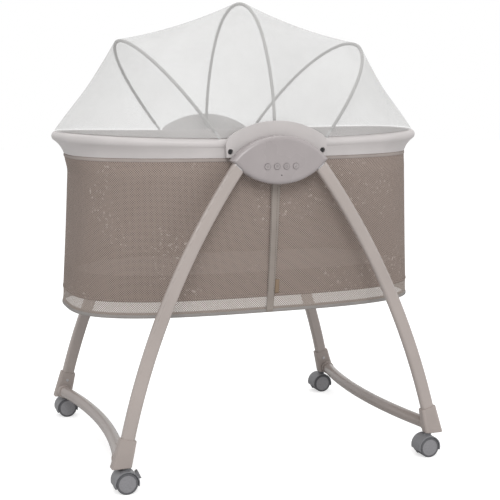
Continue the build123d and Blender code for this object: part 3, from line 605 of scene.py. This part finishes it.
def strip(name, left, right, low, high, side, proud, rows, columns, material, widen=0.0):
    """Ribbon lying on the wall of one long side, between two x and two heights.

    x = left + t (right - left + widen s), with t across it and s up it, and y is the wall's plus proud."""
    levels = np.linspace(low, high, rows)
    x = left + (right - left + widen * np.linspace(0, 1, rows)[:, None]) * np.linspace(0, 1, columns)
    y = [side * (np.interp(xs, *long_side(z, side, 1200)) + proud) for z, xs in zip(levels, x)]
    grid = np.stack([x, np.array(y), np.broadcast_to(levels[:, None], x.shape)], -1)
    if side > 0:
        grid = grid[:, ::-1]
    return cloth_mesh(name, grid, False, material, thickness=0.0008), grid


def wires(name, lines, radius, material, body):
    """Round wires along polylines, as one curve piece."""
    curve = bpy.data.curves.new(name, "CURVE")
    curve.dimensions = "3D"
    curve.bevel_depth = radius
    curve.bevel_resolution = 1
    for line in lines:
        spline = curve.splines.new("POLY")
        spline.points.add(len(line) - 1)
        spline.points.foreach_set("co", np.column_stack([line, np.ones(len(line))]).reshape(-1))
    add_piece(name, curve, material, body)


print("tape and wire helpers ready")

# %% Tapes and stitches
TAPE_HALF, TAPE_WIDENS, TAPE_PROUD = 0.0085, 0.006, 0.0021
SEAM, STITCH, STITCH_PITCH = 0.0066, 0.0042, 0.0062  # the seams' x, a stitch's length, one stitch to the next
THREAD_PROUD, THREAD_RADIUS = 0.0022, 0.00035
tape_low, tape_high = HEM - 0.006, WALL_TOP - 0.009
for side, label in ((-1, "near"), (1, "far")):
    place = -TAPE_HALF, TAPE_HALF, tape_low, tape_high, side, TAPE_PROUD
    tape, grid = strip(f"{label}_tape", *place, 44, 6, TAPE, widen=TAPE_WIDENS)
    if label == "near":
        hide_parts("centre_tapes")
    stitches = []
    for x in (-SEAM, SEAM):
        for z in np.arange(FLOOR + 0.012, WALL_TOP - 0.014, STITCH_PITCH):
            along, out = long_side(z, side, 600)
            y = side * (out[np.abs(along) < 0.03].mean() + THREAD_PROUD)
            stitches.append([(x, y, z - STITCH / 2), (x, y, z + STITCH / 2)])
    wires(f"{label}_tape_stitches", stitches, THREAD_RADIUS, THREAD, "basket")

tab, grid = strip("plain_tab", 0.0105, 0.0210, FLOOR + 0.004, FLOOR + 0.038, -1, 0.0013, 8, 5, TAN)
print("stitches on each tape", len(stitches))

# %% [markdown]
# ## Liner
# The liner is a shallow tray of woven cloth sewn into the wall. It could be draped over the board by a
# simulation, but it is sewn tight and covered by the mattress. So its side follows the wall's outline, its
# floor is that outline's lowest ring shrunk towards the middle, and both are one grid.

# %% Liner
liner_low, liner_high = corners("liner")
LINER_INSET = 0.0040  # inside the wall
tray_wall = wall(liner_low[2], liner_high[2], LINER_INSET, 12, 200)
# The floor's rings are the lowest ring times k, and the columns are turned round to face upwards
tray_floor = np.stack([tray_wall[0] * (k, k, 1) for k in np.linspace(0.02, 0.999, 14)])
tray = np.concatenate([tray_floor, tray_wall])[:, ::-1]
liner_cloth = cloth_mesh("liner_cloth", tray, True, LINER)
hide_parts("liner")

# %% [markdown]
# ## Mattress
# The mattress is a quilted pad, crowned, with seams that cross it every 90 mm and press it in. A rounded
# block would do as a stand-in, but a pad bulges where its cloth is free. So a flat closed slab with its
# outline is remeshed, blown up as cloth, and kept within its room: the tray's floor and the board's
# outline. The seams come after, because the remeshing would wipe them out.

# %% Mattress blank
pad_low, pad_high = corners("mattress")
pad_middle, pad_half = (pad_low + pad_high) / 2, (pad_high - pad_low) / 2
SHRINK = 0.004  # the blank is this much smaller than the mattress, and the filling swells it


def pad_blank():
    """Rings from the middle of the underside, round the edge, to the middle of the top.

    Each is the outline times a share k, at a share f of the height."""
    ring = even(oval(pad_half[0] - SHRINK, pad_half[1] - SHRINK, WALL_ROUNDNESS, ROUND), 200, closed=True)
    bottom, top = pad_low[2] + SHRINK * 0.5, pad_high[2] - SHRINK * 1.5
    loops = [(0.02, 0), (0.5, 0), (0.97, 0), (1, 0.15), (1, 0.85), (0.97, 1), (0.5, 1), (0.02, 1)]
    slab = [np.column_stack([ring * k, np.full(len(ring), bottom * (1 - f) + top * f)]) for k, f in loops]
    return np.stack(slab)


mattress_pad = cloth_mesh("mattress_pad", pad_blank(), True, PAD, thickness=0)
print("mattress blank", len(mattress_pad.data.vertices), "points")


# %% Mesh helpers for the filling
def apply_all(piece):
    """Turns a piece's modifiers into its mesh."""
    graph = bpy.context.evaluated_depsgraph_get()
    done = bpy.data.meshes.new_from_object(piece.evaluated_get(graph))
    piece.modifiers.clear()
    piece.data = done


def locations(piece):
    """A mesh's points as rows."""
    points = np.empty(len(piece.data.vertices) * 3)
    piece.data.vertices.foreach_get("co", points)
    return points.reshape(-1, 3)


print("lowest point of the blank", locations(mattress_pad)[:, 2].min())


# %% Mattress filling
def swell(piece, voxel, pressure, cap):
    """Remeshes a closed pad, blows it up as cloth for 20 frames, and returns its points.

    A point that moved by m goes to start + m min(1, cap / |m|), so none moves further than cap."""
    bm = bmesh.new()
    bm.from_mesh(piece.data)
    bmesh.ops.holes_fill(bm, edges=[edge for edge in bm.edges if edge.is_boundary], sides=0)
    bmesh.ops.recalc_face_normals(bm, faces=bm.faces)
    bm.to_mesh(piece.data)
    bm.free()
    remesh = piece.modifiers.new("remesh", "REMESH")
    remesh.mode = "VOXEL"
    remesh.voxel_size = voxel
    apply_all(piece)
    start = locations(piece)
    cloth = piece.modifiers.new("cloth", "CLOTH")
    cloth.settings.use_pressure = True
    cloth.settings.uniform_pressure_force = pressure
    cloth.settings.effector_weights.gravity = 0
    cloth.settings.quality = 4
    for moment in range(1, 21):
        bpy.context.scene.frame_set(moment)
    apply_all(piece)
    bpy.context.scene.frame_set(1)
    move = locations(piece) - start
    far = np.linalg.norm(move, axis=1, keepdims=True)
    return start + move * np.minimum(1, cap / np.maximum(far, 1e-9))


points = swell(mattress_pad, voxel=0.006, pressure=3.0, cap=0.010)
ROOM_LOW, ROOM_HIGH = (0.001, 0.001, 0.0012), (-0.001, -0.001, 0.004)
# It stays in its own room: the liner's floor under it and the board's outline round it
points = np.clip(points, pad_low + ROOM_LOW, pad_high + ROOM_HIGH)
print("mattress filled", len(points), "points")

# %% Mattress quilting
QUILT, QUILT_DEPTH = 0.09, 0.005  # seams cross every 90 mm and press the top in by up to 5 mm
up = np.clip((points[:, 2] - pad_middle[2]) / pad_half[2], 0, 1)
# |sin(pi x / q) sin(pi y / q)|^0.4 is 0 on the seams and 1 in the middle of each square
pillow = np.abs(np.sin(np.pi * points[:, 0] / QUILT) * np.sin(np.pi * points[:, 1] / QUILT)) ** 0.4
points[:, 2] -= up * QUILT_DEPTH * (1 - pillow)
mattress_pad.data.vertices.foreach_set("co", points.reshape(-1))
mattress_pad.data.materials.clear()
mattress_pad.data.materials.append(PAD)
mattress_pad.data.shade_smooth()
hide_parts("mattress")
print("mattress", mattress_pad.name, points.min(axis=0), points.max(axis=0))

# %% [markdown]
# ## The net
# The canopy is one sheet over three arches: the middle hoop stands upright, the outer ones lean out by 37
# degrees, and both ends run down to the rim. Between the arches the cloth hangs a little inwards. A
# simulation could drape it, but a net this tight keeps to its hoops. So rows of points run from arch to
# arch, and one grid makes the whole net.

# %% Arches
HOOP_INSET = 0.010  # the hoops' feet stand this far inside the rim's outline
NET_GAP = 0.0050  # the net lies this far outside the hoops' centre lines
FEET = 0.135  # the outer hoops' feet, along the basket
HOOP_FOOT, NET_FOOT = 0.002, 0.0022  # the hoops' feet and the net's edge stand this far over the crest
END_RADIUS = 0.220  # of the net's edge round each end of the basket
LEAN = math.radians(37)
HOOPS = {  # where the feet stand, rise, radius over the top, lean
    "left": (-FEET, 0.281, 0.240, LEAN),
    "middle": (0.0, 0.319, 0.217, 0.0),
    "right": (FEET, 0.281, 0.240, LEAN),
}


def arch_outline(half, height, top_radius, grow, columns):
    """Three arcs that meet smoothly: upright at the feet, top_radius over the top, all grown outwards.

    The side arcs have the radius (a^2 + h^2 - 2 h r) / (2 (a - r)) and their centres on the foot line."""
    side_radius = (half**2 + height**2 - 2 * height * top_radius) / (2 * (half - top_radius))
    turn = math.atan2(height - top_radius, side_radius - half)
    low = np.linspace(0, turn, 200)
    high = np.linspace(turn, np.pi / 2, 200)[1:]
    side = (side_radius + grow) * np.stack([np.cos(low), np.sin(low)], -1) + (half - side_radius, 0)
    top = (top_radius + grow) * np.stack([np.cos(high), np.sin(high)], -1) + (0, height - top_radius)
    right = np.concatenate([side, top])
    return even(np.concatenate([right, right[-2::-1] * (-1, 1)]), columns)


def arch(feet_x, rise, top_radius, lean, grow, columns):
    """Line over a hoop, from one foot over the top to the other, leaned outwards in its own plane.

    A point h above the feet goes to x = feet + h sin(lean) and z = feet + h cos(lean)."""
    points = arch_outline(rim_half_width(feet_x) - HOOP_INSET, rise, top_radius, grow, columns)
    x = feet_x + np.sign(feet_x) * points[:, 1] * math.sin(lean)
    return np.stack([x, points[:, 0], crest(feet_x) + HOOP_FOOT + points[:, 1] * math.cos(lean)], -1)


def end_line(side, columns):
    """Line where the cloth meets the rim: an arch laid level, from one outer foot round to the other."""
    reach = RIM_LENGTH - HOOP_INSET - FEET
    points = arch_outline(rim_half_width(FEET) - HOOP_INSET, reach, END_RADIUS, NET_GAP, columns)
    x = side * (FEET + points[:, 1])
    return np.stack([x, points[:, 0], crest(x) + NET_FOOT], -1)


COLUMNS = 121
arches = [arch(*hoop, NET_GAP, COLUMNS) for hoop in HOOPS.values()]
print("arches' tops", [round(float(line[:, 2].max()), 3) for line in arches])

# %% Net
lines = [end_line(-1, COLUMNS), *arches, end_line(1, COLUMNS)]
SAG = [0.010, 0.011, 0.011, 0.010]  # how far the cloth hangs in between two lines
SAG_ROOM = 0.12  # the sag grows from nothing at the rim to its full depth this far above
SPAN = 22  # rows from one line to the next
rows = []
for k, (a, b) in enumerate(zip(lines, lines[1:])):
    last = k == len(SAG) - 1
    for f in np.linspace(0, 1, SPAN + 1)[: SPAN + last]:
        # f runs from one line to the next, and the sag is 4 f (1 - f) of its full depth
        line = a * (1 - f) + b * f
        inward = line - (0, 0, CREST)
        inward[:, 0] = 0
        inward /= np.maximum(np.linalg.norm(inward, axis=1, keepdims=True), 1e-6)
        height = np.clip((line[:, 2] - CREST) / SAG_ROOM, 0, 1)
        rows.append(line - inward * (SAG[k] * 4 * f * (1 - f) * height)[:, None])
net_grid = np.stack(rows)
net_cloth = cloth_mesh("net_cloth", net_grid, False, NET, body="canopy", thickness=0)
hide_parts("canopy_net")

# %% [markdown]
# ## Sleeves on the hoops
# The net has a narrow sleeve sewn round each hoop: a tube of cloth over the wire, open at both feet. A
# bevelled curve would make a smooth hose. A circle carried along the hoop's own line can swell and shrink a
# little on the way, as gathered cloth does, and its grid can be measured as a sheet.

# %% Sleeves
SLEEVE_RADIUS, SLEEVE_ROWS, GATHER = 0.0038, 90, 0.05
for name, hoop in HOOPS.items():
    path = arch(*hoop, 0.0, SLEEVE_ROWS)
    tangent = np.gradient(path, axis=0)
    tangent /= np.linalg.norm(tangent, axis=1, keepdims=True)
    top = SLEEVE_ROWS // 2
    side = np.cross(tangent, np.cross(tangent[top], path[top] - path[0]))
    across = np.cross(tangent, side)
    side /= np.linalg.norm(side, axis=1, keepdims=True)
    across /= np.linalg.norm(across, axis=1, keepdims=True)
    # A section's points are path + r (side cos a + across sin a), and r swells and shrinks by a twentieth
    turn = np.linspace(0, 2 * np.pi, 19)[:-1][None]
    radius = SLEEVE_RADIUS * (1 + GATHER * np.sin(np.arange(SLEEVE_ROWS) * 1.9)[:, None])
    ring = (radius * np.cos(turn))[..., None] * side[:, None]
    ring += (radius * np.sin(turn))[..., None] * across[:, None]
    tube = (path[:, None] + ring)[2:-2]
    sleeve = cloth_mesh(f"{name}_sleeve", tube, True, SLEEVE, body="canopy", thickness=0.0003)

# %% [markdown]
# ## Signs on the buttons
# Four plain signs stand on the keys, from left to right: power, swing, timer and sound, each in a ring.
# They could be painted on in the material, but a thin raised line keeps its edge from close by, and it
# moves with its own key.

# %% Strokes of the signs
def arc(cx, cz, radius, first, last, count=20):
    """Points of an arc in the key's face: c + r (cos a, sin a), angles in degrees."""
    angle = np.radians(np.linspace(first, last, count))
    return np.stack([cx + radius * np.cos(angle), cz + radius * np.sin(angle)], -1)


SIGNS = {  # strokes in metres from the key's middle: across, up
    "power": [arc(0, 0, 0.0026, 125, 415), [(0, 0.0006), (0, 0.0034)]],
    "swing": [
        arc(0, 0.0036, 0.0050, 235, 305),
        arc(0, 0.0032, 0.0026, 220, 320),
        [(-0.0028, 0.0022), (0.0028, 0.0022)],
    ],
    "timer": [arc(0, 0, 0.0030, 0, 360), [(0, 0.0019), (0, 0), (0.0014, -0.0008)]],
    "sound": [
        arc(-0.0011, -0.0017, 0.0010, 0, 360),
        [(-0.0001, -0.0016), (-0.0001, 0.0026), (0.0022, 0.0018)],
    ],
}
print("strokes", {key: len(strokes) for key, strokes in SIGNS.items()})

# %% Signs on the keys
INK = finish_plastic("sign_ink", tint((112, 107, 108)), rough=0.5)
SIGN_LINE, SIGN_PROUD, RING_INSET = 0.00032, 0.00005, 0.0016  # the ring lies this far inside the key's edge
for key, strokes in SIGNS.items():
    low, high = corners(f"{key}_button")
    middle = (low + high) / 2
    middle[1] = low[1] - SIGN_PROUD
    ring = arc(0, 0, (high[2] - low[2]) / 2 - RING_INSET, 0, 360, 48)
    drawn = [middle + np.insert(np.array(stroke), 1, 0, axis=1) for stroke in (*strokes, ring)]
    wires(f"{key}_sign", drawn, SIGN_LINE, INK, f"{key}_key")
print("signs on", len(SIGNS), "keys")

# %% [markdown]
# ## Latch, rivet and sensor window
# Under the far plate a small latch on the rim's inner face holds the net's middle hoop, with a steel rivet
# above it. A dark window for the sensor stands under the keys. Both round caps could be scaled spheres, but
# a grid of half an ellipsoid has no hidden half. The latch is a block whose front is set in and whose edges
# are all rounded, as a moulding's are.


# %% Caps and mouldings
def dome(name, centre, radius, height, material, body):
    """Small round cap standing out towards the front: y = -h sqrt(1 - (r / R)^2)."""
    turn = np.linspace(0, 2 * np.pi, 25)[:-1][None]
    share = np.sin(np.linspace(0.06, 1, 6) * math.pi / 2)[::-1, None]
    depth = -height * np.sqrt(np.maximum(0.0, 1 - share**2))
    out = radius * share
    grid = np.stack([out * np.cos(turn), depth + 0 * turn, out * np.sin(turn)], -1) + centre
    cloth_mesh(name, grid, True, material, body=body, thickness=0)


def moulded_plate(name, low, high, rounding, material, body):
    """Thin upright plate with rounded edges and a shallow panel set into its front."""
    bm = bmesh.new()
    bmesh.ops.create_cube(bm, size=1.0)
    size, centre = np.subtract(high, low), np.add(high, low) / 2
    for vertex in bm.verts:
        vertex.co = Vector(centre + np.array(vertex.co) * size)
    front = [face for face in bm.faces if face.normal.y < -0.5]
    bmesh.ops.inset_region(bm, faces=front, thickness=0.12 * size[2], depth=-0.25 * size[1])
    bmesh.ops.bevel(
        bm, geom=bm.edges, offset=rounding, segments=3, profile=0.6, affect="EDGES", clamp_overlap=True
    )
    mesh = bpy.data.meshes.new(name)
    bm.to_mesh(mesh)
    bm.free()
    mesh.shade_smooth()
    add_piece(name, mesh, material, body)


print("caps and mouldings ready")

# %% Latch and rivet
LIP = 0.016
lip_face = RIM_WIDTH - LIP  # the lip's inner side
latch_low = (-0.027, lip_face - 0.0032, CREST - 0.032)
latch_high = (0.009, lip_face - 0.0001, CREST - 0.0115)
moulded_plate("far_latch", latch_low, latch_high, 0.0007, RIM_PLASTIC, "basket")
rivet = (-0.0125, lip_face - 0.0001, CREST - 0.0045)
dome("far_rivet", rivet, 0.0019, 0.0009, STEEL, "basket")
print("latch from", latch_low, "to", latch_high)

# %% Sensor window
SENSOR_DROP = 0.0205  # the sensor's window stands this far under the keys' middle
key_low, key_high = corners("timer_button")
window = (0.0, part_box("near_pod_cover")[0][1] + 0.0002, (key_low[2] + key_high[2]) / 2 - SENSOR_DROP)
WINDOW_PLASTIC = finish_plastic("window_plastic", (0.012, 0.012, 0.013), rough=0.2)
dome("sensor_window", window, 0.0017, 0.0006, WINDOW_PLASTIC, "stand")
print("sensor window at", window)

# %% [markdown]
# ## Studio
# A white room: a pale floor that keeps only the soft shadows under the wheels, a big soft light from the
# upper left, weaker ones from the right and from above, and a small one that draws the left edges. More
# light would make the background white too, but it would bleach the object. So the floor and the world are
# brighter to the camera than to the object, and pieces that mirror the room see that background too.

# %% Background rays
scene = bpy.context.scene
scene.view_settings.view_transform = "Standard"


def background_rays(nodes, links, mirrored=1.0):
    """1 for the camera's rays, and mirrored for those that a piece mirrors or lets through."""
    path = nodes.new("ShaderNodeLightPath")
    result = path.outputs["Is Camera Ray"]
    for kind in ("Is Glossy Ray", "Is Transmission Ray"):
        more = nodes.new("ShaderNodeMath")
        more.operation = "MULTIPLY_ADD"
        more.use_clamp = True
        links.new(path.outputs[kind], more.inputs[0])
        more.inputs[1].default_value = mirrored
        links.new(result, more.inputs[2])
        result = more.outputs[0]
    return result


print("view transform", scene.view_settings.view_transform)


# %% Floor
def stage_floor(size, level):
    """Square floor that is brighter to the camera than to the object, so its white stays and shadows show."""
    mesh = bpy.data.meshes.new("floor")
    square = [(-size, -size, level), (size, -size, level), (size, size, level), (-size, size, level)]
    mesh.from_pydata(square, [], [(0, 1, 2, 3)])
    floor = bpy.data.objects.new("floor", mesh)
    scene.collection.objects.link(floor)
    shader = Shader("floor_white", 0.9, 0.1)
    shader.colour((0.72, 0.72, 0.72))
    seen = background_rays(shader.nodes, shader.links, mirrored=0.05)
    shader.main.inputs["Emission Color"].default_value = (1, 1, 1, 1)
    shader.put(shader.main.inputs["Emission Strength"], shader.math("MULTIPLY", seen, 0.6))
    mesh.materials.append(shader.material)


stage_floor(12.0, cad_bounds[0][2])
print("floor at", cad_bounds[0][2])

# %% World
ROOM_LIGHT = 0.62  # the world's strength on the object, where 1 is what the camera sees
world = bpy.data.worlds.new("studio")
scene.world = world
world.use_nodes = True
world_nodes, world_links = world.node_tree.nodes, world.node_tree.links
background = world_nodes["Background"]
background.inputs["Color"].default_value = (1, 1, 1, 1)
level = world_nodes.new("ShaderNodeMapRange")
level.inputs["To Min"].default_value = ROOM_LIGHT
level.inputs["To Max"].default_value = 1.0
world_links.new(background_rays(world_nodes, world_links), level.inputs["Value"])
world_links.new(level.outputs[0], background.inputs["Strength"])
print("world from", ROOM_LIGHT, "to 1")

# %% Lights
LIGHTS = {  # place, size, power
    "key": ((-0.9, -3.4, 3.0), 1.8, 69),
    "fill": ((2.8, -2.4, 1.8), 2.4, 19),
    "top": ((0.1, 0.6, 3.4), 2.0, 27),
    "edge": ((-3.0, -1.3, 2.8), 0.45, 8),
}
TARGET = Vector((0, 0, 0.6))  # all of them point at the middle of the basket
for name, (place, size, power) in LIGHTS.items():
    light = bpy.data.lights.new(name, "AREA")
    light.size = size
    light.energy = power
    lamp = bpy.data.objects.new(name, light)
    lamp.location = place
    lamp.rotation_euler = (TARGET - Vector(place)).to_track_quat("-Z", "Y").to_euler()
    scene.collection.objects.link(lamp)
print("lights", len(LIGHTS))

# %% [markdown]
# ## Camera
# The camera stands to the left of the front, a little above the rim, and looks slightly down. A short lens
# close by would make the near legs look larger than the far ones, so it is a long lens some way off.

# %% Camera
camera_data = bpy.data.cameras.new("camera")
camera = bpy.data.objects.new("camera", camera_data)
scene.collection.objects.link(camera)
camera.location = (-1.017, -2.803, 0.930)
camera.rotation_euler = (math.radians(90 - 8.44), math.radians(-0.13), math.radians(-20.47))
camera_data.sensor_width = 36
camera_data.lens = 84.5
camera_data.shift_x = 0.0024
camera_data.shift_y = 0.0004
camera_data.clip_start = 0.05
scene.camera = camera
print("camera at", tuple(camera.location))
